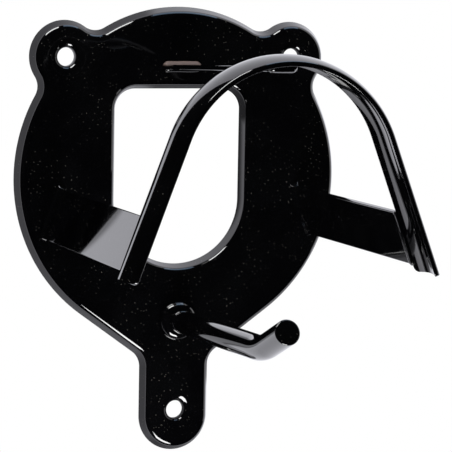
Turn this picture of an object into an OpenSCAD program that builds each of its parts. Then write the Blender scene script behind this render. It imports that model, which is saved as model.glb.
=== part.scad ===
// Wall-mounted bridle rack: a pressed backplate carries a domed strip arch on two
// flat arms and a top stay, and a bent rein hook below. All joints are welded.
// X points right, the wall is the plane Y = 0, the rack stands out along -Y, and
// Z = 0 is the line through the two upper screw holes.

/* [Backplate] */
// Height of the backplate from the dome's top to the tab's end
plate_length = 185.7; // [180:0.1:191]
// Spacing of the two upper screw holes
hole_spacing = 98; // [92:0.5:104]
// Diameter of the screw holes
hole_d = 7.6; // [5:0.1:9]
// Width of the rounded entry round a screw hole
entry_w = 2.4; // [1.4:0.1:3.2]
// Depth of the rounded entry
entry_h = 1.2; // [0.6:0.1:1.6]
// Radius of the ears round the upper screw holes
ear_r = 14.9; // [13.5:0.1:16.5]
// Radius of the dome between the ears
dome_r = 62.9; // [58:0.1:68]
// Rise of the dome above the upper screw holes
dome_rise = 20.7; // [18:0.1:23]
// Radius of the round body
body_r = 69.9; // [67:0.1:73]
// Drop of the body's centre below the upper screw holes
body_drop = 49.7; // [47:0.1:53]
// Slope of the flanks that run down to the tab
flank_a = 36; // [32:0.5:40]
// Half width and end radius of the tab
tab_r = 15; // [13.5:0.1:17]
// Drop of the tab's end centre below the lower screw hole
tab_reach = 2.5; // [0:0.1:5]
// Hollow corner between dome and ear
dome_fillet = 7.7; // [6:0.1:10]
// Hollow corner between ear and body
ear_fillet = 7.4; // [6:0.1:10]
// Hollow corner between flank and tab
tab_fillet = 8; // [6:0.1:12]
// Depth of the pressing, from the wall to the front face
plate_h = 5.2; // [4.4:0.1:7]
// Thickness of the sheet
sheet_t = 2; // [1.5:0.1:2.4]
// How far the sloped rim runs out between front face and wall
rim_run = 2.25; // [1:0.05:3]
// Radius of the pressed front edges
edge_r = 1.6; // [0.8:0.1:2]

/* [Window] */
// Width of the window at the wall
win_w = 54.4; // [48:0.2:60]
// Drop of the window's top edge below the upper screw holes
win_drop = 13.1; // [12:0.1:18]
// Radius of the window's top corners
win_corner = 8.5; // [5:0.1:12]
// Drop of the centre of the window's round bottom
win_arc_drop = 59; // [52:0.5:62]
// How far the window's rim runs in between front face and wall
win_run = 2; // [1:0.05:3]

/* [Arch] */
// Distance from the wall to the arch's rear edge
arch_reach = 113.3; // [95:0.1:130]
// Width of the arch's strip
arch_w = 19.5; // [15:0.1:24]
// Thickness of the strip of arch and arms
strip_t = 2; // [1.6:0.1:3]
// Height of the dome pressed into the arch's strip
arch_crown = 2.4; // [1:0.1:2.6]
// Outside bend radius of the arch at the strip's edges
arch_r = 43.6; // [38:0.1:48]
// Height of the arch's top edges above the upper screw holes
arch_rise = 4; // [2:0.1:8]
// Splay of each leg from upright
splay = 20.6; // [15:0.1:24]
// How far the legs run below the arms
leg_over = 3.1; // [2.8:0.1:8]
// Corner radius of the leg ends
leg_corner = 2; // [0.5:0.1:2.5]

/* [Arms] */
// Width of an arm
arm_w = 21.6; // [18:0.1:24]
// Distance from the end of the arch's bend down to the arm
arm_below = 31.2; // [26:0.1:34]

/* [Top stay] */
// Width of the stay
stay_w = 12; // [9:0.1:15]
// Thickness of the stay
stay_t = 2; // [1.5:0.1:2.5]
// Drop of the stay's top below the upper screw holes at the plate
stay_drop = 3; // [1.5:0.1:4]
// How far the stay runs in under the arch
stay_lap = 7; // [4:0.1:10]
// Clearance between the stay and the arch's underside
stay_gap = 0.1; // [0.05:0.05:0.3]

/* [Rein hook] */
// Diameter of the hook's bar
hook_d = 10; // [8:0.1:12]
// Drop of the hook's foot below the upper screw holes
hook_drop = 109.6; // [107:0.1:112]
// Upward slope of the hook's straight run
hook_slope = 1.9; // [0:0.1:4]
// Length of the straight run
hook_straight = 92.8; // [80:0.1:110]
// Bend radius on the bar's centre line
hook_bend_r = 45; // [30:1:60]
// Angle of the bend
hook_bend = 20; // [12:0.5:35]
// Length of the upturned end
hook_tail = 20; // [14:0.1:30]
// Rounding of the end's edge
hook_edge = 0.7; // [0.3:0.1:1.5]

/* [Welds] */
// Leg of the ring weld round the hook's foot
ring_weld = 3.2; // [2:0.1:4]
// Leg of the fillet round the foot of an arm
foot_weld = 1.2; // [0.8:0.1:2]
// Width of that fillet at its upper edge
weld_land = 0.2; // [0.1:0.05:0.4]
// Radius of the bead inside the joint of arm and arch
joint_weld = 1.7; // [1.6:0.1:2.4]
// Depth of that bead below the outer face
weld_flush = 0.1; // [0.05:0.05:0.4]
// How far that bead's middle lies behind the joint
joint_set = 0.3; // [0.1:0.1:1]
// How far that bead runs past the arm's edges
weld_over = 0.5; // [0.3:0.1:1]
// Leg of the bead round the foot of the stay
stay_weld = 1.4; // [0.8:0.1:1.8]
// Radius of the bead between the stay's end and the arch
tip_weld = 2.6; // [2.4:0.1:3]

/* [Hidden] */
$fn = 96;
paint = [0.06, 0.06, 0.07];
weld_paint = [0.13, 0.13, 0.14];
big = 400;

// Slopes of the pressed rims, measured from the plate's normal
rim_a = atan2(rim_run, plate_h);
win_a = atan2(win_run, plate_h);

// Drop from the upper screw holes to the lower one
hole_drop = plate_length - dome_rise - tab_r - tab_reach;

// Centres of the backplate's outline arcs, as [x, z]
dome_c = [0, dome_rise - dome_r];
ear_c = [hole_spacing / 2, 0];
body_c = [0, -body_drop];
tab_c = [0, dome_rise - plate_length + tab_r];
dome_fillet_c = circles_meet(dome_c, dome_r + dome_fillet, ear_c, ear_r + dome_fillet);
ear_fillet_c = circles_meet(ear_c, ear_r + ear_fillet, body_c, body_r + ear_fillet);
tab_fillet_x = tab_r + tab_fillet;
flank_reach = body_drop * cos(flank_a) + body_r + tab_fillet;
tab_fillet_c = [tab_fillet_x, (tab_fillet_x * sin(flank_a) - flank_reach) / cos(flank_a)];

// Centre of the arch's bend and the radius of its strip's pressed dome
bend_z = arch_rise - arch_r;
dome_strip_r = (arch_w * arch_w / 4 + arch_crown * arch_crown) / (2 * arch_crown);
leg_len = arm_below + arm_w + leg_over;

// Height of the stay's top where it passes under the arch's rear edge
stay_seat = bend_z + sqrt(pow(arch_r - strip_t, 2) - pow(stay_w / 2, 2)) - stay_gap;
stay_grade = (stay_seat + stay_drop) / (arch_reach - plate_h);
stay_end = arch_reach + stay_lap;
stay_end_z = stay_seat + stay_grade * stay_lap;

// The meeting point of two circles that lies to the left on the way from p to q
function circles_meet(p, rp, q, rq) =
    let (d = norm(q - p), along = (rp * rp - rq * rq + d * d) / (2 * d), u = (q - p) / d)
    p + along * u + sqrt(rp * rp - along * along) * [-u[1], u[0]];
function bearing(from, to) = atan2(to[1] - from[1], to[0] - from[0]);
// Points along an arc, where last = 1 leaves the end point to the arc that follows
function arc(c, r, a0, a1, steps, last = 0) =
    [for (i = [0:steps - last]) let (a = a0 + (a1 - a0) * i / steps) c + r * [cos(a), sin(a)]];
// A hollow corner about c between the arcs centred on p and q, without its end point
function hollow(c, r, p, q, steps) =
    let (a = bearing(c, p), turn = (bearing(c, q) - a + 360) % 360)
    arc(c, r, a, a + turn, steps, 1);
function mirrored(half) =
    concat(half, [for (i = [len(half) - 2:-1:1]) [-half[i][0], half[i][1]]]);

// Faces of the band between two rings of points, and a face seen from its other side
function band(a, b, size) =
    [for (i = [0:size - 1]) let (j = (i + 1) % size) [a + i, a + j, b + j, b + i]];
function flipped(face) = [for (i = [len(face) - 1:-1:0]) face[i]];

// Outline of the backplate from its top, clockwise, grown by o
function plate_outline(o) = mirrored(concat(
    arc(dome_c, dome_r + o, 90, bearing(dome_c, dome_fillet_c), 10, 1),
    hollow(dome_fillet_c, dome_fillet - o, dome_c, ear_c, 5),
    arc(ear_c, ear_r + o, bearing(ear_c, dome_fillet_c), bearing(ear_c, ear_fillet_c), 14, 1),
    hollow(ear_fillet_c, ear_fillet - o, ear_c, body_c, 5),
    arc(body_c, body_r + o, bearing(body_c, ear_fillet_c), flank_a - 90, 16),
    arc(tab_fillet_c, tab_fillet - o, flank_a + 90, 180, 5),
    arc(tab_c, tab_r + o, 0, -90, 9)));

// Outline of the window from its top, clockwise, grown by o
function window_outline(o) = mirrored(concat(
    [[0, o - win_drop]],
    arc([win_w / 2 - win_corner, -win_drop - win_corner], win_corner + o, 90, 0, 8),
    arc([0, -win_arc_drop], win_w / 2 + o, 0, -90, 14)));

// Offset and height of the rounded front edge over a rim of slope a, in even turns
edge_steps = 3;
function edge_ring(run, a, i) =
    let (turn = a + (90 - a) * i / edge_steps, h = plate_h - edge_r)
    [run * h / plate_h + edge_r / cos(a) - edge_r * cos(turn), h + edge_r * sin(turn)];

// Rings of the outer rim, from the wall to the front face and back down inside
plate_rings = concat(
    [[0, 0]],
    [for (i = [0:edge_steps]) edge_ring(rim_run, rim_a, i)],
    [for (h = [plate_h - sheet_t, 0]) [rim_run * h / plate_h + sheet_t / cos(rim_a), h]]);
// Rings of the window's rim, from the front face to the wall and back up inside
window_rings = concat(
    [for (i = [edge_steps:-1:0]) edge_ring(win_run, win_a, i)],
    [[0, 0]],
    [for (h = [0, plate_h - sheet_t]) [win_run * h / plate_h + sheet_t / cos(win_a), h]]);

// The pressed shell as one closed skin: two rims, joined by the front face and its back
module pressed_shell() {
    outer = [for (ring = plate_rings) plate_outline(-ring[0])];
    inner = [for (ring = window_rings) window_outline(ring[0])];
    n = len(outer[0]);
    m = len(inner[0]);
    base = n * len(outer);
    front = edge_steps + 1;
    last = len(inner) - 1;
    points = concat(
        [for (k = [0:len(outer) - 1]) for (p = outer[k]) [p[0], -plate_rings[k][1], p[1]]],
        [for (k = [0:last]) for (p = inner[k]) [p[0], -window_rings[k][1], p[1]]]);
    function zipped(a, b) =
        [for (i = [0:n - 1])
            let (j = (i + 1) % n, w = round(i * m / n) % m, v = round((i + 1) * m / n) % m)
            each concat([[a + i, a + j, b + v]], v == w ? [] : [[a + i, b + v, b + w]])];
    faces = concat(
        [for (k = [0:front - 1]) each band(k * n, (k + 1) * n, n)],
        zipped(front * n, base),
        [for (k = [0:last - 1]) each band(base + k * m, base + (k + 1) * m, m)],
        [for (face = zipped((front + 1) * n, base + last * m)) flipped(face)],
        band((front + 1) * n, (front + 2) * n, n),
        band((front + 2) * n, 0, n));
    polyhedron(points, faces);
}

// Places a turned piece with its axis on a screw hole, its +Z pointing off the wall
module at_holes() {
    for (p = [[-hole_spacing / 2, 0], [hole_spacing / 2, 0], [0, -hole_drop]])
        translate([p[0], 0, p[1]])
            rotate([90, 0, 0])
                children();
}

// The sheet that the rounded entry pushes out behind a screw hole
module hole_back() {
    translate([0, 0, plate_h - sheet_t - entry_h])
        cylinder(h = entry_h + sheet_t / 2, r1 = hole_d / 2 + entry_w / 2, r2 = hole_d / 2 + entry_w);
}

module hole_cut() {
    r = hole_d / 2;
    floor_h = plate_h - entry_h;
    cylinder(h = 2 * plate_h, r = r, center = true);
    rotate_extrude()
        polygon(concat(
            [[0, floor_h]],
            [for (a = [0:15:90]) [r + entry_w * (1 - cos(a)), floor_h + entry_h * sin(a)]],
            [[r + entry_w, plate_h + 1], [0, plate_h + 1]]));
}

module backplate() {
    color(paint)
        difference() {
            union() {
                pressed_shell();
                at_holes() hole_back();
            }
            at_holes() hole_cut();
        }
}

// Everything behind the plate's front face, to trim what stands on it
module behind_face() {
    translate([-big / 2, -plate_h, -big / 2])
        cube(big);
}

// Cross section of the domed strip: radius from the bend's centre, distance from the wall
module strip_section() {
    middle = arch_reach + arch_w / 2;
    centre = arch_r + arch_crown - dome_strip_r;
    intersection() {
        translate([arch_r - strip_t, arch_reach])
            square([strip_t + arch_crown, arch_w]);
        difference() {
            translate([centre, middle]) circle(dome_strip_r, $fn = 240);
            translate([centre - strip_t, middle]) circle(dome_strip_r, $fn = 240);
        }
    }
}

// Outline of a leg seen square on, with its two rounded end corners
module leg_outline() {
    translate([arch_reach, -1]) square([arch_w, leg_len - leg_corner + 1]);
    translate([arch_reach + leg_corner, 0]) square([arch_w - 2 * leg_corner, leg_len]);
    for (x = [leg_corner, arch_w - leg_corner])
        translate([arch_reach + x, leg_len - leg_corner])
            circle(leg_corner);
}

// Frame of the right leg: X leaves its outer face, Z runs up the leg from the bend's end
module right_leg_frame() {
    translate([0, 0, bend_z])
        rotate([0, -splay, 0])
            children();
}

module leg() {
    right_leg_frame()
        intersection() {
            rotate([180, 0, 0]) linear_extrude(leg_len) strip_section();
            translate([arch_r - strip_t - 1, 0, 0])
                rotate([-90, 0, -90])
                    linear_extrude(strip_t + arch_crown + 2)
                        leg_outline();
        }
}

module arch() {
    color(paint) {
        translate([0, 0, bend_z])
            rotate([90, -splay, 0])
                rotate_extrude(angle = 180 - 2 * splay, $fn = 180)
                    strip_section();
        leg();
        mirror([1, 0, 0]) leg();
    }
}

module arm() {
    right_leg_frame()
        translate([arch_r - strip_t, -arch_reach, -arm_below - arm_w])
            cube([strip_t, arch_reach - plate_h, arm_w]);
}

module right_arm() {
    color(paint) arm();
}

module left_arm() {
    color(paint) mirror([1, 0, 0]) arm();
}

module top_stay() {
    color(paint)
        rotate([90, 0, 90])
            linear_extrude(stay_w, center = true)
                polygon([[-plate_h, -stay_drop], [-stay_end, stay_end_z],
                         [-stay_end, stay_end_z - stay_t], [-plate_h, -stay_drop - stay_t]]);
}

// Frame of the hook: Z runs along its straight bar from the plate, Y points up
module hook_frame() {
    translate([0, -plate_h, -hook_drop])
        rotate([90 - hook_slope, 0, 0])
            children();
}

// Stations along the hook after its foot: height, run, slope and radius of each ring
hook_sides = 36;
bend_steps = 8;
tail_from = [hook_bend_r * (1 - cos(hook_bend)), hook_straight + hook_bend_r * sin(hook_bend)];
hook_stations = concat(
    [for (i = [0:bend_steps]) let (a = hook_bend * i / bend_steps)
        [hook_bend_r * (1 - cos(a)), hook_straight + hook_bend_r * sin(a), a, hook_d / 2]],
    [for (a = [0:30:90]) let (run = hook_tail - hook_edge * (1 - sin(a)))
        [tail_from[0] + run * sin(hook_bend), tail_from[1] + run * cos(hook_bend), hook_bend,
         hook_d / 2 - hook_edge * (1 - cos(a))]]);

// The hook's bar as one sweep, whose foot lies flat on the plate's front face
module rein_hook() {
    n = hook_sides;
    turns = [for (i = [0:n - 1]) 360 * i / n];
    r = hook_d / 2;
    points = concat(
        [for (t = turns) [r * cos(t), r * sin(t), r * sin(t) * tan(hook_slope)]],
        [for (st = hook_stations) for (t = turns)
            [st[3] * cos(t), st[0] + st[3] * sin(t) * cos(st[2]), st[1] - st[3] * sin(t) * sin(st[2])]]);
    last = len(hook_stations);
    faces = concat(
        [[for (i = [0:n - 1]) i]],
        [for (k = [0:last - 1]) each band((k + 1) * n, k * n, n)],
        [flipped([for (i = [0:n - 1]) last * n + i])]);
    color(paint)
        hook_frame()
            polyhedron(points, faces);
}

// A straight bead with tapered ends, lying along Z and centred
module bead(length, r) {
    run = length / 2;
    rotate_extrude()
        polygon([[0, -run - r], [r / 2, -run - r], [r, -run - r / 2],
                 [r, run + r / 2], [r / 2, run + r], [0, run + r]]);
}

// The ring weld round the hook's foot, bored along the sloping bar
module hook_weld() {
    r = hook_d / 2;
    color(weld_paint)
        difference() {
            translate([0, -plate_h, -hook_drop])
                rotate([90, 0, 0])
                    rotate_extrude()
                        intersection() {
                            union() {
                                translate([r, 0]) circle(ring_weld, $fn = 48);
                                square([r, ring_weld]);
                            }
                            square(r + ring_weld);
                        }
            hook_frame()
                cylinder(h = 4 * ring_weld, r = r, center = true);
        }
}

// A ridge along Y with the fillet's two slopes on either side of a wall of this width
module fillet_ridge(wall) {
    foot = wall / 2 + foot_weld;
    brow = wall / 2 + weld_land;
    rotate([90, 0, 0])
        linear_extrude(2 * arm_w, center = true)
            polygon([[-foot, 0], [foot, 0], [brow, foot_weld], [-brow, foot_weld]]);
}

// The flat-sided fillet round an arm's foot, where two ridges cross
module root_weld() {
    difference() {
        right_leg_frame()
            translate([arch_r - strip_t / 2, -plate_h, -arm_below - arm_w / 2])
                rotate([90, 0, 0])
                    intersection() {
                        fillet_ridge(strip_t);
                        rotate([0, 0, 90]) fillet_ridge(arm_w);
                    }
        arm();
    }
}

module right_root_weld() {
    color(weld_paint) root_weld();
}

module left_root_weld() {
    color(weld_paint) mirror([1, 0, 0]) root_weld();
}

// The bead inside the joint of arm and leg, kept below the outer face
module joint_bead() {
    difference() {
        right_leg_frame()
            translate([arch_r - weld_flush - joint_weld, joint_set - arch_reach, -arm_below - arm_w / 2])
                rotate([0, 0, 45])
                    bead(arm_w + 2 * (weld_over - joint_weld), joint_weld);
        translate([0, -joint_set, 0]) arm();
        leg();
    }
}

module right_tip_weld() {
    color(weld_paint) joint_bead();
}

module left_tip_weld() {
    color(weld_paint) mirror([1, 0, 0]) joint_bead();
}

module stay_root_weld() {
    color(weld_paint)
        difference() {
            translate([0, -plate_h, -stay_drop - stay_t / 2])
                rotate([0, 90, 0])
                    bead(stay_w, stay_t / 2 + stay_weld);
            top_stay();
            behind_face();
        }
}

module stay_tip_weld() {
    color(weld_paint)
        difference() {
            translate([0, -stay_end, stay_end_z])
                rotate([0, 90, 0])
                    bead(stay_w - 2 * tip_weld, tip_weld);
            top_stay();
            arch();
        }
}

backplate();
arch();
left_arm();
right_arm();
top_stay();
rein_hook();
hook_weld();
left_root_weld();
right_root_weld();
left_tip_weld();
right_tip_weld();
stay_root_weld();
stay_tip_weld();
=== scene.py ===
import math
import bmesh
import bpy
from mathutils import Matrix, Vector, noise


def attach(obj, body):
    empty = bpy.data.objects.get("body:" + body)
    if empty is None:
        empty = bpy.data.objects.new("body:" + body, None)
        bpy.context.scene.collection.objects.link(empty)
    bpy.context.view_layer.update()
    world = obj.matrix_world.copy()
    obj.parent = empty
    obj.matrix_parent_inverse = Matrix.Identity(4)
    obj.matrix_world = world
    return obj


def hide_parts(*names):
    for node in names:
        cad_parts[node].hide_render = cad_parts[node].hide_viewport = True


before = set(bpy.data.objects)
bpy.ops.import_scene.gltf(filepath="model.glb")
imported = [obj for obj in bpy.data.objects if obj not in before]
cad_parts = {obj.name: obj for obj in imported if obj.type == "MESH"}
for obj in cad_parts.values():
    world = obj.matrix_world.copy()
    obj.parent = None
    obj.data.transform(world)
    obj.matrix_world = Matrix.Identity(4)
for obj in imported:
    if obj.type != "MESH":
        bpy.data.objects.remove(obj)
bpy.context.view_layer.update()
mm = 0.001
white = (1, 1, 1, 1)
black = (0, 0, 0, 1)
print("frame loaded:", len(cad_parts), "nodes")


# small helpers for node trees
def newFinish(name):
    finish = bpy.data.materials.new(name)
    finish.use_nodes = True
    return finish, finish.node_tree


def addNode(tree, kind, **values):
    made = tree.nodes.new(kind)
    for name, value in values.items():
        setattr(made, name, value)
    return made


def feed(tree, source, node, socket):
    if isinstance(source, bpy.types.NodeSocket):
        tree.links.new(source, node.inputs[socket])
    else:
        node.inputs[socket].default_value = source


def calc(tree, operation, first, second=0.0):
    made = addNode(tree, "ShaderNodeMath", operation=operation)
    feed(tree, first, made, 0)
    feed(tree, second, made, 1)
    return made.outputs[0]


def farFrom(tree, across, up):
    square = calc(tree, "ADD", calc(tree, "MULTIPLY", across, across), calc(tree, "MULTIPLY", up, up))
    return calc(tree, "SQRT", square)


def ease(tree, value, fromMin, fromMax, toMin=0.0, toMax=1.0):
    made = addNode(tree, "ShaderNodeMapRange", interpolation_type="SMOOTHSTEP")
    for socket, item in enumerate((value, fromMin, fromMax, toMin, toMax)):
        feed(tree, item, made, socket)
    return made.outputs[0]


def blendColour(tree, factor, first, second):
    made = addNode(tree, "ShaderNodeMix", data_type="RGBA")
    feed(tree, factor, made, 0)
    feed(tree, first, made, 6)      # the colour sockets A, B and result
    feed(tree, second, made, 7)
    return made.outputs[2]


def splitPlace(tree, place):
    spot = addNode(tree, "ShaderNodeSeparateXYZ")
    feed(tree, place, spot, 0)
    return spot.outputs


# gloss black paint: dust specks, cloudy polish and a faint orange peel
paint = {
    "deep": (0.0015, 0.0015, 0.002, 1),
    "pale": (0.003, 0.003, 0.0036, 1),
    "dust": (0.52, 0.49, 0.42, 1),
    "cloudScale": 60,           # scales are per metre
    "cloudDetail": 4,
    "cloudRange": (0.35, 0.68),
    "speckScale": 820,
    "speckSize": 0.17,          # of a cell
    "speckCore": 0.4,           # of a speck
    "speckShare": 0.45,         # cells left clean
    "polish": (0.035, 0.075),
    "polishRange": (0.3, 0.7),
    "dustRoughness": 0.5,
    "coatRoughness": 0.03,
    "peelScale": 420,
    "peelDetail": 1,
    "peelStrength": 0.35,
    "peelDepth": 0.000005,      # metres
    "ior": 1.5,
    "clean": (-0.45, -0.15),    # undersides hold no dust
    "lay": 0,                   # dust lying on top faces
    "layFrom": (0.1, 0.55),
}


def paintFinish(name, settings):
    finish, tree = newFinish(name)
    shader = tree.nodes["Principled BSDF"]
    place = addNode(tree, "ShaderNodeTexCoord").outputs["Object"]

    def pattern(kind, scale):
        made = addNode(tree, kind)
        feed(tree, place, made, "Vector")
        feed(tree, settings[scale], made, "Scale")
        return made

    cloud = pattern("ShaderNodeTexNoise", "cloudScale")
    feed(tree, settings["cloudDetail"], cloud, "Detail")
    cloudiness = ease(tree, cloud.outputs[0], *settings["cloudRange"])
    shade = blendColour(tree, cloudiness, settings["deep"], settings["pale"])

    speck = pattern("ShaderNodeTexVoronoi", "speckScale")
    split = addNode(tree, "ShaderNodeSeparateColor")
    feed(tree, speck.outputs["Color"], split, 0)
    size = settings["speckSize"]
    dot = ease(tree, speck.outputs["Distance"], size, size * settings["speckCore"])
    kept = calc(tree, "GREATER_THAN", split.outputs[0], settings["speckShare"])
    up = splitPlace(tree, addNode(tree, "ShaderNodeNewGeometry").outputs["Normal"])[2]
    settled = calc(tree, "MULTIPLY", ease(tree, up, *settings["clean"]), cloudiness)
    strength = calc(tree, "MULTIPLY", split.outputs[1], split.outputs[1])
    faint = calc(tree, "MULTIPLY", strength, settled)
    dust = calc(tree, "MULTIPLY", calc(tree, "MULTIPLY", dot, kept), faint)
    if settings["lay"]:
        lying = calc(tree, "MULTIPLY", ease(tree, up, *settings["layFrom"]), settings["lay"])
        dust = calc(tree, "MAXIMUM", dust, lying)
    feed(tree, blendColour(tree, dust, shade, settings["dust"]), shader, "Base Color")

    polish = ease(tree, cloud.outputs[0], *settings["polishRange"], *settings["polish"])
    dulled = calc(tree, "MULTIPLY", dust, settings["dustRoughness"])
    feed(tree, calc(tree, "ADD", polish, dulled), shader, "Roughness")

    peel = pattern("ShaderNodeTexNoise", "peelScale")
    feed(tree, settings["peelDetail"], peel, "Detail")
    bump = addNode(tree, "ShaderNodeBump")
    feed(tree, settings["peelStrength"], bump, "Strength")
    feed(tree, settings["peelDepth"], bump, "Distance")
    feed(tree, peel.outputs[0], bump, "Height")
    feed(tree, bump.outputs[0], shader, "Normal")

    feed(tree, settings["ior"], shader, "IOR")
    coat = calc(tree, "SUBTRACT", 1.0, dust) if settings["lay"] else 1.0
    feed(tree, coat, shader, "Coat Weight")
    feed(tree, settings["coatRoughness"], shader, "Coat Roughness")
    return finish


glossBlack = paintFinish("glossBlack", paint)
weldSettings = {**paint, "polish": (0.05, 0.11), "peelScale": 600, "peelDepth": 0.000015}
weldPaint = paintFinish("weldPaint", weldSettings)
dustyWeld = paintFinish("dustyWeld", {**weldSettings, "lay": 0.95, "dust": (0.25, 0.175, 0.15, 1)})
print("mixed the black paint, the weld paint and the dusty weld paint")


# small helpers for meshes
def vertsIn(items):
    return [item for item in items if isinstance(item, bmesh.types.BMVert)]


def edgesIn(items):
    return [item for item in items if isinstance(item, bmesh.types.BMEdge)]


def newEdges(bm, known):
    return [edge for edge in bm.edges if edge not in known]


def nextVert(bm, vert):
    return bmesh.ops.extrude_vert_indiv(bm, verts=[vert])["verts"][0]


# carries a vertex round an arc and gives the arc's last one
def turnVert(bm, vert, centre, axis, angle, steps):
    spun = bmesh.ops.spin(bm, geom=[vert], cent=centre, axis=axis, angle=angle, steps=steps)
    return vertsIn(spun["geom_last"])[0]


# draws a ring of edges out and gives the new ring
def pullRing(bm, edges, way):
    made = bmesh.ops.extrude_edge_only(bm, edges=edges)["geom"]
    verts = vertsIn(made)
    bmesh.ops.translate(bm, verts=verts, vec=way)
    return verts, [edge for edge in edgesIn(made) if all(vert in verts for vert in edge.verts)]


def roundOff(bm, geom, reach, steps, affect="EDGES"):
    bmesh.ops.bevel(bm, geom=geom, offset=reach * mm, offset_type="OFFSET", segments=steps,
                    profile=0.5, affect=affect, material=-1)


joinWithin = 0.002      # millimetres between doubles


# turns a finished bmesh into a piece that stands for its CAD node
def makePiece(name, bm, finish, node, sharpFrom):
    bmesh.ops.remove_doubles(bm, verts=bm.verts, dist=joinWithin * mm)
    bmesh.ops.recalc_face_normals(bm, faces=bm.faces)
    for face in bm.faces:
        face.smooth = True
    for edge in bm.edges:
        if len(edge.link_faces) == 2 and edge.calc_face_angle(0) > math.radians(sharpFrom):
            edge.smooth = False
    loose = sum(1 for edge in bm.edges if len(edge.link_faces) != 2)
    mesh = bpy.data.meshes.new(name)
    bm.to_mesh(mesh)
    bm.free()
    mesh.materials.append(finish)
    piece = bpy.data.objects.new(name, mesh)
    bpy.context.scene.collection.objects.link(piece)
    even = piece.modifiers.new("evenNormals", "WEIGHTED_NORMAL")
    even.keep_sharp = True
    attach(piece, "root")
    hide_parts(node)
    print("made", name, len(mesh.polygons), "faces,", loose, "open edges")


# pressed backplate: sizes in millimetres as in the CAD source, apart from a rounder front edge and
# wider, deeper screw hole entries, as the highlights in the photograph show them
plate = {
    "holeSpacing": 98, "holeDrop": 147.5, "holeRadius": 3.8, "entryWidth": 4.2, "entryDepth": 2.4,
    "entryLand": 0.6, "entrySteps": 10, "holeSides": 56,
    "earRadius": 14.9, "domeRadius": 62.9, "domeRise": 20.7, "bodyRadius": 69.9, "bodyDrop": 49.7,
    "flank": 36, "tabRadius": 15, "tabReach": 2.5, "domeHollow": 7.7, "earHollow": 7.4, "tabHollow": 8,
    "height": 5.2, "sheet": 2, "rimRun": 2.25, "edgeRadius": 2.6, "border": 2.6, "edgeSteps": 10,
    "windowWidth": 54.4, "windowDrop": 13.1, "windowCorner": 8.5, "windowArcDrop": 59, "windowRun": 2,
    "domeSteps": 26, "hollowSteps": 14, "earSteps": 36, "bodySteps": 48, "tabSteps": 20,
    "windowCornerSteps": 18, "windowArcSteps": 36, "flatWithin": 0.01, "sharpFrom": 38,
}
plateFace = plate["height"]


# follows a closed line of arcs and straight runs, starting and ending at one point
def traceLoop(bm, start, steps, height):
    known = set(bm.edges)
    first = bm.verts.new((start[0] * mm, -height * mm, start[1] * mm))
    tip = first
    for step in steps:
        if "turn" in step:
            centre = (step["centre"][0] * mm, -height * mm, step["centre"][1] * mm)
            tip = turnVert(bm, tip, centre, (0, 1, 0), math.radians(step["turn"]), step["count"])
        else:
            tip = nextVert(bm, tip)
            bmesh.ops.translate(bm, verts=[tip], vec=(step["move"][0] * mm, 0, step["move"][1] * mm))
    bmesh.ops.weld_verts(bm, targetmap={tip: first})
    return newEdges(bm, known)


def bearing(fromPoint, toPoint):
    return math.degrees(math.atan2(toPoint[1] - fromPoint[1], toPoint[0] - fromPoint[0]))


def circlesMeet(p, rp, q, rq):
    way = Vector(q) - Vector(p)
    far = way.length
    along = (rp * rp - rq * rq + far * far) / (2 * far)
    side = math.sqrt(rp * rp - along * along)
    unit = way / far
    return Vector(p) + along * unit + side * Vector((-unit.y, unit.x))


def mirroredSteps(half):
    other = []
    for step in reversed(half):
        if "turn" in step:
            other.append({**step, "centre": (-step["centre"][0], step["centre"][1])})
        else:
            other.append({"move": (step["move"][0], -step["move"][1])})
    return half + other


def plateSteps():
    p = plate
    dome = Vector((0, p["domeRise"] - p["domeRadius"]))
    ear = Vector((p["holeSpacing"] / 2, 0))
    body = Vector((0, -p["bodyDrop"]))
    tab = Vector((0, -p["holeDrop"] - p["tabReach"]))
    domeHollow = circlesMeet(dome, p["domeRadius"] + p["domeHollow"], ear, p["earRadius"] + p["domeHollow"])
    earHollow = circlesMeet(ear, p["earRadius"] + p["earHollow"], body, p["bodyRadius"] + p["earHollow"])
    slope = math.radians(p["flank"])
    reach = p["bodyDrop"] * math.cos(slope) + p["bodyRadius"] + p["tabHollow"]
    hollowX = p["tabRadius"] + p["tabHollow"]
    tabHollow = Vector((hollowX, (hollowX * math.sin(slope) - reach) / math.cos(slope)))
    # the flank is as long as the way between its two arcs' centres, along the flank
    flankRun = (tabHollow - body).dot(Vector((-math.cos(slope), -math.sin(slope))))

    def arc(centre, turn, steps):
        return {"centre": centre, "turn": turn, "count": p[steps]}

    def hollowArc(centre, before, after):
        return arc(centre, -((bearing(centre, after) - bearing(centre, before)) % 360), "hollowSteps")

    half = [
        arc(dome, 90 - bearing(dome, domeHollow), "domeSteps"),
        hollowArc(domeHollow, dome, ear),
        arc(ear, bearing(ear, domeHollow) - bearing(ear, earHollow), "earSteps"),
        hollowArc(earHollow, ear, body),
        arc(body, bearing(body, earHollow) - (p["flank"] - 90), "bodySteps"),
        {"move": (-flankRun * math.cos(slope), -flankRun * math.sin(slope))},
        arc(tabHollow, -(90 - p["flank"]), "hollowSteps"),
        {"move": (0, tab.y - tabHollow.y)},
        arc(tab, 90, "tabSteps"),
    ]
    return mirroredSteps(half)


def windowSteps():
    p = plate
    side = p["windowWidth"] / 2
    corner = (side - p["windowCorner"], -p["windowDrop"] - p["windowCorner"])
    half = [
        {"move": (corner[0], 0)},
        {"centre": corner, "turn": 90, "count": p["windowCornerSteps"]},
        {"move": (0, -p["windowArcDrop"] - corner[1])},
        {"centre": (0, -p["windowArcDrop"]), "turn": 90, "count": p["windowArcSteps"]},
    ]
    return mirroredSteps(half)


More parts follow.
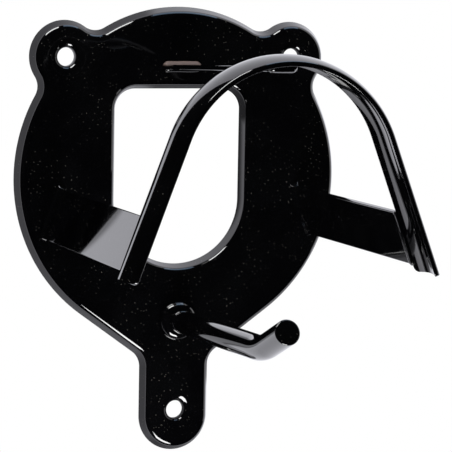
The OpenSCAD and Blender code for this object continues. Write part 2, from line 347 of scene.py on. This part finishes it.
# rolled entry, bore and back of one screw hole, turned from its profile
def screwHole(bm, x, z):
    p = plate
    r, w, deep, top = p["holeRadius"], p["entryWidth"], p["entryDepth"], p["height"]
    back = top - p["sheet"]
    known, knownVerts = set(bm.edges), set(bm.verts)

    def newVerts():
        return [vert for vert in bm.verts if vert not in knownVerts]

    lip = bm.verts.new(((x + r + w) * mm, -top * mm, z * mm))
    centre = ((x + r + w) * mm, -(top - w) * mm, z * mm)
    inner = turnVert(bm, lip, centre, (0, 0, 1), -math.radians(90), p["entrySteps"])
    squeeze = Matrix.Translation((0, -top * mm, 0)) @ Matrix.Diagonal((1, deep / w, 1, 1))
    bmesh.ops.transform(bm, verts=newVerts(), matrix=squeeze @ Matrix.Translation((0, top * mm, 0)))
    low = back - deep
    slant = w / 2 * deep / (deep + p["sheet"] / 2)
    for radius, height in ((r, low), (r + w / 2, low), (r + w / 2 + slant, back)):
        inner = nextVert(bm, inner)
        inner.co = ((x + radius) * mm, -height * mm, z * mm)
    flat = nextVert(bm, lip)
    flat.co.x += p["entryLand"] * mm
    bmesh.ops.spin(bm, geom=newEdges(bm, known) + newVerts(), cent=(x * mm, 0, z * mm), axis=(0, 1, 0),
                   angle=math.tau, steps=p["holeSides"], use_merge=True)


def buildBackplate():
    p = plate
    bm = bmesh.new()
    top, back = p["height"], p["height"] - p["sheet"]
    rimSlope = math.atan2(p["rimRun"], top)
    windowSlope = math.atan2(p["windowRun"], top)
    rimWall = p["sheet"] / math.cos(rimSlope)
    windowWall = p["sheet"] / math.cos(windowSlope)
    outline, opening = plateSteps(), windowSteps()
    lift = 1    # loops in one plane bridge crosswise, so some start this much higher

    def plateLoop(inset, height):
        return traceLoop(bm, (0, p["domeRise"] - inset), outline, height)

    def windowLoop(growth, height):
        return traceLoop(bm, (0, growth - p["windowDrop"]), opening, height)

    foot = plateLoop(0, 0)
    front = plateLoop(p["rimRun"], top)
    border = plateLoop(p["rimRun"] + p["border"], top + lift)
    under = plateLoop(p["rimRun"] * back / top + rimWall, back)
    innerFoot = plateLoop(rimWall, lift)
    windowFront = windowLoop(p["windowRun"], top)
    windowBorder = windowLoop(p["windowRun"] + p["border"], top + lift)
    windowFoot = windowLoop(0, 0)
    windowInner = windowLoop(windowWall, lift)
    windowUnder = windowLoop(p["windowRun"] * back / top + windowWall, back)
    pairs = ((foot, front), (front, border), (under, innerFoot), (innerFoot, foot),
             (windowBorder, windowFront), (windowFront, windowFoot), (windowFoot, windowInner),
             (windowInner, windowUnder))
    for one, other in pairs:
        bmesh.ops.bridge_loops(bm, edges=one + other)
    for lifted in (border, innerFoot, windowBorder, windowInner):
        corners = list({vert for edge in lifted for vert in edge.verts})
        bmesh.ops.translate(bm, verts=corners, vec=(0, lift * mm, 0))
    for edges, slope in ((front, rimSlope), (windowFront, windowSlope)):
        roundOff(bm, edges, p["edgeRadius"] * math.tan((math.pi / 2 - slope) / 2), p["edgeSteps"])
    half = p["holeSpacing"] / 2
    for x, z in ((-half, 0), (half, 0), (0, -p["holeDrop"])):
        screwHole(bm, x, z)
    for height, facing in ((top, -1), (back, 1)):
        rings = [edge for edge in bm.edges if len(edge.link_faces) == 1
                 and all(abs(vert.co.y + height * mm) < p["flatWithin"] * mm for vert in edge.verts)]
        bmesh.ops.triangle_fill(bm, edges=rings, use_beauty=True, normal=(0, facing, 0))
    makePiece("backplate_pressed", bm, glossBlack, "backplate", p["sharpFrom"])


buildBackplate()


# domed strip arch: one section carried down a leg, round the crown and down the other leg
arch = {
    "reach": 113.3, "width": 19.5, "thick": 2, "crown": 2.4, "bendRadius": 43.6, "rise": 4, "splay": 20.6,
    "armBelow": 31.2, "armWidth": 21.6, "legOver": 3.1, "legCorner": 2, "edgeRound": 0.8,
    "sectionSteps": 28, "crownSteps": 700, "edgeSteps": 4, "legSteps": 4,
    "cornerTurns": (18, 36, 54, 72, 84, 90), "sharpFrom": 55,
}
bendZ = arch["rise"] - arch["bendRadius"]
legLength = arch["armBelow"] + arch["armWidth"] + arch["legOver"]


# frame of a leg: X leaves its outer face, Z runs up the leg from the end of the bend
def legFrame(side):
    lean = Matrix.Rotation(math.radians(-arch["splay"]), 4, "Y")
    place = Matrix.Translation((0, 0, bendZ * mm)) @ lean
    return place if side > 0 else Matrix.Diagonal((-1, 1, 1, 1)) @ place


def buildArch():
    a = arch
    bm = bmesh.new()
    half = a["width"] / 2
    domeRadius = (half * half + a["crown"] ** 2) / (2 * a["crown"])
    centre = a["bendRadius"] + a["crown"] - domeRadius
    middle = -(a["reach"] + half)
    spread = math.asin(half / domeRadius)
    rear = bm.verts.new(((centre + domeRadius * math.cos(spread)) * mm, (middle + half) * mm, 0))
    outer = turnVert(bm, rear, (centre * mm, middle * mm, 0), (0, 0, 1), -2 * spread, a["sectionSteps"])
    inner = nextVert(bm, outer)
    bmesh.ops.translate(bm, verts=[inner], vec=(-a["thick"] * mm, 0, 0))
    innerCentre = ((centre - a["thick"]) * mm, middle * mm, 0)
    last = turnVert(bm, inner, innerCentre, (0, 0, 1), 2 * spread, a["sectionSteps"])
    bmesh.ops.contextual_create(bm, geom=[last, rear])
    bmesh.ops.contextual_create(bm, geom=list(bm.edges))
    roundOff(bm, [rear, outer, inner, last], a["edgeRound"], a["edgeSteps"], "VERTICES")
    bmesh.ops.delete(bm, geom=list(bm.faces), context="FACES_ONLY")
    bmesh.ops.transform(bm, verts=bm.verts, matrix=legFrame(1))
    ring = list(bm.edges)
    spun = bmesh.ops.spin(bm, geom=list(bm.verts) + ring, cent=(0, 0, bendZ * mm), axis=(0, 1, 0),
                          angle=-math.radians(180 - 2 * a["splay"]), steps=a["crownSteps"])
    farRing = edgesIn(spun["geom_last"])

    def pullLeg(edges, side):
        turned = legFrame(side).to_3x3()
        down = (turned @ Vector((0, 0, -1))).normalized()
        out = (turned @ Vector((1, 0, 0))).normalized()
        corner = a["legCorner"]
        straight = legLength - corner
        runs = [(straight * (step + 1) / a["legSteps"], 0) for step in range(a["legSteps"])]
        for turn in map(math.radians, a["cornerTurns"]):
            runs.append((straight + corner * math.sin(turn), corner * (1 - math.cos(turn))))
        gone = narrowed = 0
        for run, narrow in runs:
            verts, edges = pullRing(bm, edges, down * (run - gone) * mm)
            share = (half - narrow) / (half - narrowed)
            for vert in verts:      # narrower rings keep to the strip's dome
                old = vert.co.y / mm - middle
                new = old * share
                rise = math.sqrt(domeRadius ** 2 - new * new) - math.sqrt(domeRadius ** 2 - old * old)
                vert.co += out * rise * mm
                vert.co.y = (middle + new) * mm
            gone, narrowed = run, narrow
        bmesh.ops.contextual_create(bm, geom=edges)

    pullLeg(ring, 1)
    pullLeg(farRing, -1)
    makePiece("arch_strip", bm, glossBlack, "arch", a["sharpFrom"])


buildArch()


# flat arms between the plate and the legs
arm = {"round": 0.4, "roundSteps": 3, "sharpFrom": 40}
armAcross = arch["bendRadius"] - arch["thick"] / 2
armMiddle = -(arch["armBelow"] + arch["armWidth"] / 2)


def buildArm(name, node, side):
    bm = bmesh.new()
    long = arch["reach"] - plateFace
    size = Matrix.Diagonal((arch["thick"] * mm, long * mm, arch["armWidth"] * mm, 1))
    shift = Matrix.Translation((armAcross * mm, -(plateFace + long / 2) * mm, armMiddle * mm))
    bmesh.ops.create_cube(bm, size=1, matrix=legFrame(side) @ shift @ size)
    roundOff(bm, list(bm.edges), arm["round"], arm["roundSteps"])
    makePiece(name, bm, glossBlack, node, arm["sharpFrom"])


buildArm("arm_right", "right_arm", 1)
buildArm("arm_left", "left_arm", -1)


# flat stay from the plate to the underside of the crown
stay = {
    "width": 12, "thick": 2, "drop": 3, "lap": 7, "gap": 0.1, "round": 0.35, "roundSteps": 3,
    "sharpFrom": 40,
}
stayInside = arch["bendRadius"] - arch["thick"]
staySeat = bendZ + math.sqrt(stayInside ** 2 - (stay["width"] / 2) ** 2) - stay["gap"]
stayGrade = (staySeat + stay["drop"]) / (arch["reach"] - plateFace)
stayEnd = arch["reach"] + stay["lap"]
stayEndZ = staySeat + stayGrade * stay["lap"]
stayRoot = Matrix.Translation((0, -plateFace * mm, -(stay["drop"] + stay["thick"] / 2) * mm))


def buildStay():
    bm = bmesh.new()
    long = stayEnd - plateFace
    lean = Matrix.Identity(4)
    lean[2][1] = -stayGrade
    size = Matrix.Diagonal((stay["width"] * mm, long * mm, stay["thick"] * mm, 1))
    block = Matrix.Translation((0, -long / 2 * mm, 0)) @ size
    bmesh.ops.create_cube(bm, size=1, matrix=stayRoot @ lean @ block)
    roundOff(bm, list(bm.edges), stay["round"], stay["roundSteps"])
    makePiece("stay_top", bm, glossBlack, "top_stay", stay["sharpFrom"])


buildStay()


# round bar rein hook: straight run, bend and upturned end
hook = {
    "radius": 5, "drop": 109.6, "slope": 1.9, "straight": 92.8, "bendRadius": 45, "bend": 20, "tail": 20,
    "edge": 0.8, "capInset": 0.4, "sunk": 0.4, "sides": 72, "straightSteps": 4, "bendSteps": 24,
    "endSteps": 6, "sharpFrom": 50,
}
hookRoot = Matrix.Translation((0, -plateFace * mm, -hook["drop"] * mm))


def buildHook():
    h = hook
    bm = bmesh.new()
    bmesh.ops.create_circle(bm, segments=h["sides"], radius=h["radius"] * mm)
    bmesh.ops.translate(bm, verts=bm.verts, vec=(0, 0, -h["sunk"] * mm))
    ring = list(bm.edges)
    bmesh.ops.contextual_create(bm, geom=ring)
    run = (h["straight"] + h["sunk"]) / h["straightSteps"]
    for step in range(h["straightSteps"]):
        verts, ring = pullRing(bm, ring, (0, 0, run * mm))
    bend = math.radians(h["bend"])
    spun = bmesh.ops.spin(bm, geom=verts + ring, cent=(0, h["bendRadius"] * mm, h["straight"] * mm),
                          axis=(1, 0, 0), angle=-bend, steps=h["bendSteps"])
    ring = edgesIn(spun["geom_last"])
    along = Vector((0, math.sin(bend), math.cos(bend)))
    verts, ring = pullRing(bm, ring, along * (h["tail"] - h["edge"]) * mm)
    before = 0
    for step in range(h["endSteps"]):       # rounded end
        now = math.radians(90 * (step + 1) / h["endSteps"])
        verts, ring = pullRing(bm, ring, along * h["edge"] * (math.sin(now) - math.sin(before)) * mm)
        centre = sum((vert.co for vert in verts), Vector()) / len(verts)
        wide = h["radius"] - h["edge"] * (1 - math.cos(now))
        for vert in verts:
            vert.co = centre + (vert.co - centre).normalized() * wide * mm
        before = now
    cap = bmesh.ops.contextual_create(bm, geom=ring)["faces"]
    bmesh.ops.inset_region(bm, faces=cap, thickness=h["capInset"] * mm)
    lean = Matrix.Rotation(math.radians(90 - h["slope"]), 4, "X")
    bmesh.ops.transform(bm, verts=bm.verts, matrix=hookRoot @ lean)
    makePiece("hook_bar", bm, glossBlack, "rein_hook", h["sharpFrom"])


buildHook()


# weld metal: a rolled ring at the hook, flat-sided fillets at the arms' feet, beads at the other joints
ringWeld = {
    "leg": 3.2, "under": 0.3, "tuck": 0.6, "rollSteps": 14, "sides": 120, "lump": 0.16,
    "swellScale": 260, "swellShift": (3, 1, 7), "riseScale": 200, "riseShare": 0.5, "riseFrom": 0.8,
    "sharpFrom": 60,
}


def buildRingWeld():
    w = ringWeld
    bm = bmesh.new()
    r = hook["radius"]
    low = bm.verts.new(((r + w["leg"]) * mm, w["under"] * mm, 0))
    toe = nextVert(bm, low)
    toe.co = ((r + w["leg"]) * mm, 0, 0)
    crest = turnVert(bm, toe, (r * mm, 0, 0), (0, 0, 1), -math.radians(90), w["rollSteps"])
    tuck = nextVert(bm, crest)
    tuck.co = ((r - w["tuck"]) * mm, -w["leg"] * mm, 0)
    root = nextVert(bm, tuck)
    root.co = ((r - w["tuck"]) * mm, w["under"] * mm, 0)
    bmesh.ops.contextual_create(bm, geom=[root, low])
    bmesh.ops.spin(bm, geom=list(bm.edges) + list(bm.verts), cent=(0, 0, 0), axis=(0, 1, 0),
                   angle=math.tau, steps=w["sides"], use_merge=True)
    for vert in bm.verts:       # poured metal is never quite even
        far = vert.co.length
        outward = Vector((vert.co.x, 0, vert.co.z)).normalized()
        swell = noise.noise(vert.co * w["swellScale"] + Vector(w["swellShift"]))
        vert.co += outward * w["lump"] * mm * swell
        rise = noise.noise(vert.co * w["riseScale"]) * min(1, far / (r * mm) - w["riseFrom"])
        vert.co.y -= w["lump"] * mm * w["riseShare"] * rise
    bmesh.ops.transform(bm, verts=bm.verts, matrix=hookRoot)
    makePiece("weld_hook_ring", bm, weldPaint, "hook_weld", w["sharpFrom"])


buildRingWeld()

bead = {
    "rowSteps": 60, "sides": 40, "endSteps": 10, "ripple": 0.006, "pitch": 2.1, "slant": 0.25,
    "lump": 0.09, "lumpScale": 220, "seedSpread": (1, 0.37, 1.9), "poleWithin": 0.003,
    "sunk": 0.3, "cutWithin": 0.001, "sharpFrom": 60,
}


# a bead with round ends along its own Z, with the waves that a torch leaves
def buildBead(name, node, run, radius, place, seed, onPlate=False, finish=weldPaint):
    b = bead
    quarter = math.radians(90)
    bm = bmesh.new()
    tip = bm.verts.new((0, 0, (run + radius) * mm))
    side = turnVert(bm, tip, (0, 0, run * mm), (0, 1, 0), quarter, b["endSteps"])
    for step in range(b["rowSteps"]):
        side = nextVert(bm, side)
        side.co.z -= 2 * run / b["rowSteps"] * mm
    turnVert(bm, side, (0, 0, -run * mm), (0, 1, 0), quarter, b["endSteps"])
    bmesh.ops.spin(bm, geom=list(bm.edges) + list(bm.verts), cent=(0, 0, 0), axis=(0, 0, 1),
                   angle=math.tau, steps=b["sides"], use_merge=True)
    bmesh.ops.remove_doubles(bm, verts=bm.verts, dist=b["poleWithin"] * mm)
    offset = Vector([seed * spread for spread in b["seedSpread"]])
    for vert in bm.verts:
        away = Vector((vert.co.x, vert.co.y, 0))
        wave = math.sin(math.tau * (vert.co.z / mm + b["slant"] * vert.co.x / mm) / b["pitch"])
        lift = b["ripple"] * wave + b["lump"] * noise.noise(vert.co * b["lumpScale"] + offset)
        vert.co += away * (lift / radius)
    bmesh.ops.transform(bm, verts=bm.verts, matrix=place)
    if onPlate:         # what would stand behind the plate's face is cut away
        whole = list(bm.verts) + list(bm.edges) + list(bm.faces)
        cut = bmesh.ops.bisect_plane(bm, geom=whole, dist=b["cutWithin"] * mm, plane_no=(0, 1, 0),
                                     plane_co=(0, -(plateFace - b["sunk"]) * mm, 0), clear_outer=True)
        bmesh.ops.contextual_create(bm, geom=edgesIn(cut["geom_cut"]))
    makePiece(name, bm, finish, node, b["sharpFrom"])


weld = {
    "foot": 1.2, "land": 0.2, "footRound": 0.2, "footRoundSteps": 4, "joint": 1.7, "jointFlat": 0.5,
    "flush": 0.1, "set": 0.3, "over": 0.5, "stay": 1.4, "stayTip": 2.6,
    "jointSeed": 9, "staySeed": 17, "stayTipSeed": 23, "sharpFrom": 60,
}


# flat-sided fillet round the foot of an arm
def buildFootWeld(name, node, side):
    bm = bmesh.new()
    bmesh.ops.create_cube(bm, size=2)
    for vert in bm.verts:
        grow = weld["foot"] if vert.co.y > 0 else weld["land"]
        vert.co.x *= (arch["thick"] / 2 + grow) * mm
        vert.co.z *= (arch["armWidth"] / 2 + grow) * mm
        vert.co.y = (bead["sunk"] if vert.co.y > 0 else -weld["foot"]) * mm
    roundOff(bm, list(bm.edges), weld["footRound"], weld["footRoundSteps"])
    place = Matrix.Translation((armAcross * mm, -plateFace * mm, armMiddle * mm))
    bmesh.ops.transform(bm, verts=bm.verts, matrix=legFrame(side) @ place)
    makePiece(name, bm, weldPaint, node, weld["sharpFrom"])


# bead down the joint between an arm and its leg
def buildJointWeld(name, node, side):
    radius = weld["joint"]
    half = arch["armWidth"] / 2 + weld["over"] - radius
    place = Matrix.Translation(((arch["bendRadius"] - weld["flush"] - radius) * mm,
                                (weld["set"] - arch["reach"]) * mm, armMiddle * mm))
    flatten = Matrix.Diagonal((weld["jointFlat"], 1, 1, 1))
    buildBead(name, node, half, radius, legFrame(side) @ place @ flatten, weld["jointSeed"] + side)


# beads across the stay, on the plate and under the crown
def buildStayWelds():
    across = Matrix.Rotation(math.radians(90), 4, "Y")
    half, tipRadius = stay["width"] / 2, weld["stayTip"]
    buildBead("weld_stay_foot", "stay_root_weld", half, stay["thick"] / 2 + weld["stay"],
              stayRoot @ across, weld["staySeed"], True, dustyWeld)
    tipPlace = Matrix.Translation((0, -stayEnd * mm, stayEndZ * mm))
    buildBead("weld_stay_tip", "stay_tip_weld", half - tipRadius, tipRadius,
              tipPlace @ across, weld["stayTipSeed"])


for side, word in ((1, "right"), (-1, "left")):
    buildFootWeld("weld_foot_" + word, word + "_root_weld", side)
    buildJointWeld("weld_joint_" + word, word + "_tip_weld", side)
buildStayWelds()


# camera at the photograph's viewing angle
shot = {
    "azimuth": -19.835, "elevation": 6.109, "roll": 1.054, "distance": 1057.8,
    "target": (22.45, 0, -70.92), "lens": 200.43, "sensor": 36, "clip": (0.05, 50),
}


def buildCamera():
    a, e, turn = (math.radians(shot[key]) for key in ("azimuth", "elevation", "roll"))
    back = Vector((math.sin(a) * math.cos(e), -math.cos(a) * math.cos(e), math.sin(e)))
    right = Vector((math.cos(a), math.sin(a), 0))
    up = back.cross(right)
    tiltedRight = right * math.cos(turn) + up * math.sin(turn)
    tiltedUp = up * math.cos(turn) - right * math.sin(turn)
    data = bpy.data.cameras.new("photoCamera")
    data.lens, data.sensor_width = shot["lens"], shot["sensor"]
    data.clip_start, data.clip_end = shot["clip"]
    camera = bpy.data.objects.new("photoCamera", data)
    place = Matrix((tiltedRight, tiltedUp, back)).transposed().to_4x4()
    place.translation = (Vector(shot["target"]) + back * shot["distance"]) * mm
    camera.matrix_world = place
    bpy.context.scene.collection.objects.link(camera)
    bpy.context.scene.camera = camera
    print("camera at", tuple(round(x, 3) for x in camera.location))


buildCamera()


# tells whether a ray comes from the camera, or from a mirror surface or through glass
def seenDirectly(tree):
    rays = addNode(tree, "ShaderNodeLightPath")
    mirrored = calc(tree, "MAXIMUM", rays.outputs["Is Glossy Ray"], rays.outputs["Is Transmission Ray"])
    return rays.outputs["Is Camera Ray"], mirrored


# flat stage piece, its corners in millimetres
def stageFlat(name, corners, finish):
    bm = bmesh.new()
    verts = [bm.verts.new([value * mm for value in corner]) for corner in corners]
    bmesh.ops.contextual_create(bm, geom=verts)
    mesh = bpy.data.meshes.new(name)
    bm.to_mesh(mesh)
    bm.free()
    mesh.materials.append(finish)
    flat = bpy.data.objects.new(name, mesh)
    bpy.context.scene.collection.objects.link(flat)
    print("stage:", name)
    return flat


# upright stage piece that only mirror surfaces see
def hangSheet(name, settings, finish):
    (x0, x1), (z0, z1), y = settings["x"], settings["z"], settings["y"]
    sheet = stageFlat(name, [(x0, y, z0), (x1, y, z0), (x1, y, z1), (x0, y, z1)], finish)
    sheet.visible_camera = sheet.visible_diffuse = False
    sheet.visible_shadow = sheet.visible_transmission = False


# pale floor well below the rack, fading into the white background, dark where the paint mirrors it
floor = {
    "height": -460, "half": 900, "colour": (0.85, 0.85, 0.85, 1), "roughness": 0.9,
    "glow": (0.5, 1), "fade": (250, 850),
}


def buildFloor():
    finish, tree = newFinish("paleFloor")
    shader = tree.nodes["Principled BSDF"]
    shader.inputs["Roughness"].default_value = floor["roughness"]
    shader.inputs["Specular IOR Level"].default_value = 0
    shader.inputs["Emission Color"].default_value = white
    direct, mirrored = seenDirectly(tree)
    feed(tree, blendColour(tree, mirrored, floor["colour"], black), shader, "Base Color")
    spot = splitPlace(tree, addNode(tree, "ShaderNodeTexCoord").outputs["Object"])
    fade = [far * mm for far in floor["fade"]]
    glow = ease(tree, farFrom(tree, spot[0], spot[1]), *fade, *floor["glow"])
    feed(tree, calc(tree, "MULTIPLY", direct, glow), shader, "Emission Strength")
    h, z = floor["half"], floor["height"]
    stageFlat("floor", [(-h, -h, z), (h, -h, z), (h, h, z), (-h, h, z)], finish)


buildFloor()


# white board that the rack hangs against, seen only in the paint, with the plate's soft shadow on it
board = {
    "y": 1.2, "x": (-100, 700), "z": (-700, 700), "tint": (0.93, 0.93, 1, 1),
    "shadowShift": (-3, -12), "shadowEdge": (0, 5), "glow": (0.15, 0.95),
    "rimGlow": 0.42, "rimBand": (12, 9.5), "rimSide": (-8, -16),     # even half-light beside the left rim
}


# distance outside the plate's outline, whose left and right halves are alike
def outlineDistance(tree, x, z):
    p = plate

    def past(value, amount):
        return calc(tree, "SUBTRACT", value, amount * mm)

    def disc(across, up, radius):
        return past(farFrom(tree, across, up), radius)

    def below(amount):
        return calc(tree, "MINIMUM", past(z, -amount), 0.0)

    slope = math.radians(p["flank"])
    middle = past(z, -p["bodyDrop"])
    sloped = calc(tree, "SUBTRACT", calc(tree, "MULTIPLY", x, math.sin(slope)),
                  calc(tree, "MULTIPLY", middle, math.cos(slope)))
    flankTop = past(middle, -p["bodyRadius"] * math.cos(slope))
    tab = disc(x, below(p["holeDrop"] + p["tabReach"]), p["tabRadius"])
    forms = [
        disc(x, middle, p["bodyRadius"]),
        disc(x, past(z, p["domeRise"] - p["domeRadius"]), p["domeRadius"]),
        disc(past(x, p["holeSpacing"] / 2), z, p["earRadius"]),
        calc(tree, "MAXIMUM", past(sloped, p["bodyRadius"]), flankTop),
        calc(tree, "MAXIMUM", tab, middle),
    ]
    whole = forms[0]
    for form in forms[1:]:
        whole = calc(tree, "MINIMUM", whole, form)
    window = calc(tree, "MAXIMUM", disc(x, below(p["windowArcDrop"]), p["windowWidth"] / 2),
                  past(z, -p["windowDrop"]))
    return calc(tree, "MAXIMUM", whole, calc(tree, "MULTIPLY", window, -1.0))


def buildBoard():
    finish, tree = newFinish("whiteBoard")
    tree.nodes.remove(tree.nodes["Principled BSDF"])
    spot = splitPlace(tree, addNode(tree, "ShaderNodeTexCoord").outputs["Object"])
    x, z = spot[0], spot[2]

    def edges(key):
        return [edge * mm for edge in board[key]]

    shiftX, shiftZ = edges("shadowShift")
    shiftedX = calc(tree, "ABSOLUTE", calc(tree, "SUBTRACT", x, shiftX))
    away = outlineDistance(tree, shiftedX, calc(tree, "SUBTRACT", z, shiftZ))
    shaded = ease(tree, away, *edges("shadowEdge"), *board["glow"])
    beside = outlineDistance(tree, calc(tree, "ABSOLUTE", x), z)
    near = calc(tree, "MULTIPLY", ease(tree, beside, *edges("rimBand")), ease(tree, x, *edges("rimSide")))
    change = calc(tree, "MULTIPLY", near, calc(tree, "SUBTRACT", board["rimGlow"], shaded))
    shine = addNode(tree, "ShaderNodeEmission")
    shine.inputs["Color"].default_value = board["tint"]
    feed(tree, calc(tree, "ADD", shaded, change), shine, "Strength")
    feed(tree, shine.outputs[0], tree.nodes["Material Output"], "Surface")
    hangSheet("whiteBoard", board, finish)


buildBoard()


# painted shadow: a black card beside the left arm, standing in for the plate's shadow on the board, which
# keeps the board out of the root of the arm's reflection
shadowCard = {"y": -20, "x": (-72, -60), "z": (-88, -28)}


def buildShadowCard():
    finish, tree = newFinish("paintedShadowCard")
    shader = tree.nodes["Principled BSDF"]
    shader.inputs["Base Color"].default_value = black
    shader.inputs["Specular IOR Level"].default_value = 0
    hangSheet("paintedShadowCard", shadowCard, finish)


buildShadowCard()


# studio: a white sheet behind, a dark room in front, a weak fill for the dust
studio = {
    "fill": 0.12, "room": 0.004,
    "left": (16, 6), "right": (-115, -95),      # the sheet's soft sides, in degrees left of straight behind
}


def buildStudio():
    world = bpy.data.worlds.new("studio")
    world.use_nodes = True
    bpy.context.scene.world = world
    tree = world.node_tree
    back = tree.nodes["Background"]
    direct, mirrored = seenDirectly(tree)
    way = splitPlace(tree, addNode(tree, "ShaderNodeTexCoord").outputs["Generated"])
    left = calc(tree, "ARCTAN2", calc(tree, "MULTIPLY", way[0], -1.0), way[1])

    def limit(key):
        return ease(tree, left, *(math.radians(angle) for angle in studio[key]))

    sheet = calc(tree, "MULTIPLY", limit("left"), limit("right"))
    seen = calc(tree, "MULTIPLY", mirrored, calc(tree, "MAXIMUM", sheet, studio["room"]))
    plain = calc(tree, "MULTIPLY", calc(tree, "SUBTRACT", 1.0, mirrored), studio["fill"])
    feed(tree, calc(tree, "MAXIMUM", direct, calc(tree, "ADD", seen, plain)), back, "Strength")
    back.inputs["Color"].default_value = white


buildStudio()


# soft lights, in metres and watts: a cool one overhead, a long one above the left, a small one low in front
lampAim = Vector((0, 0, -0.06))
lamps = [
    {"name": "coolTop", "at": (0.32, -0.16, 0.9), "size": (0.5, 0.5), "power": 1.2,
     "colour": (0.5, 0.72, 1.0)},
    {"name": "keyLeft", "at": (-0.34, -0.29, 0.84), "size": (0.54, 0.3), "power": 5.0,
     "colour": (1, 1, 1)},
    {"name": "softLow", "at": (-0.02, -0.195, -0.35), "size": (0.14, 0.12), "power": 0.65,
     "colour": (1, 1, 1)},
]


def buildLamps():
    for lamp in lamps:
        data = bpy.data.lights.new(lamp["name"], "AREA")
        data.shape, data.energy, data.color = "RECTANGLE", lamp["power"], lamp["colour"]
        data.size, data.size_y = lamp["size"]
        light = bpy.data.objects.new(lamp["name"], data)
        away = (Vector(lamp["at"]) - lampAim).normalized()
        along = (Vector((1, 0, 0)) - away * away.x).normalized()
        place = Matrix((along, away.cross(along), away)).transposed().to_4x4()
        place.translation = lamp["at"]
        light.matrix_world = place
        light.visible_camera = False
        bpy.context.scene.collection.objects.link(light)
    print("studio lit by", len(lamps), "lamps")


buildLamps()
bpy.context.scene.view_settings.view_transform = "Standard"

bpy.context.view_layer.update()
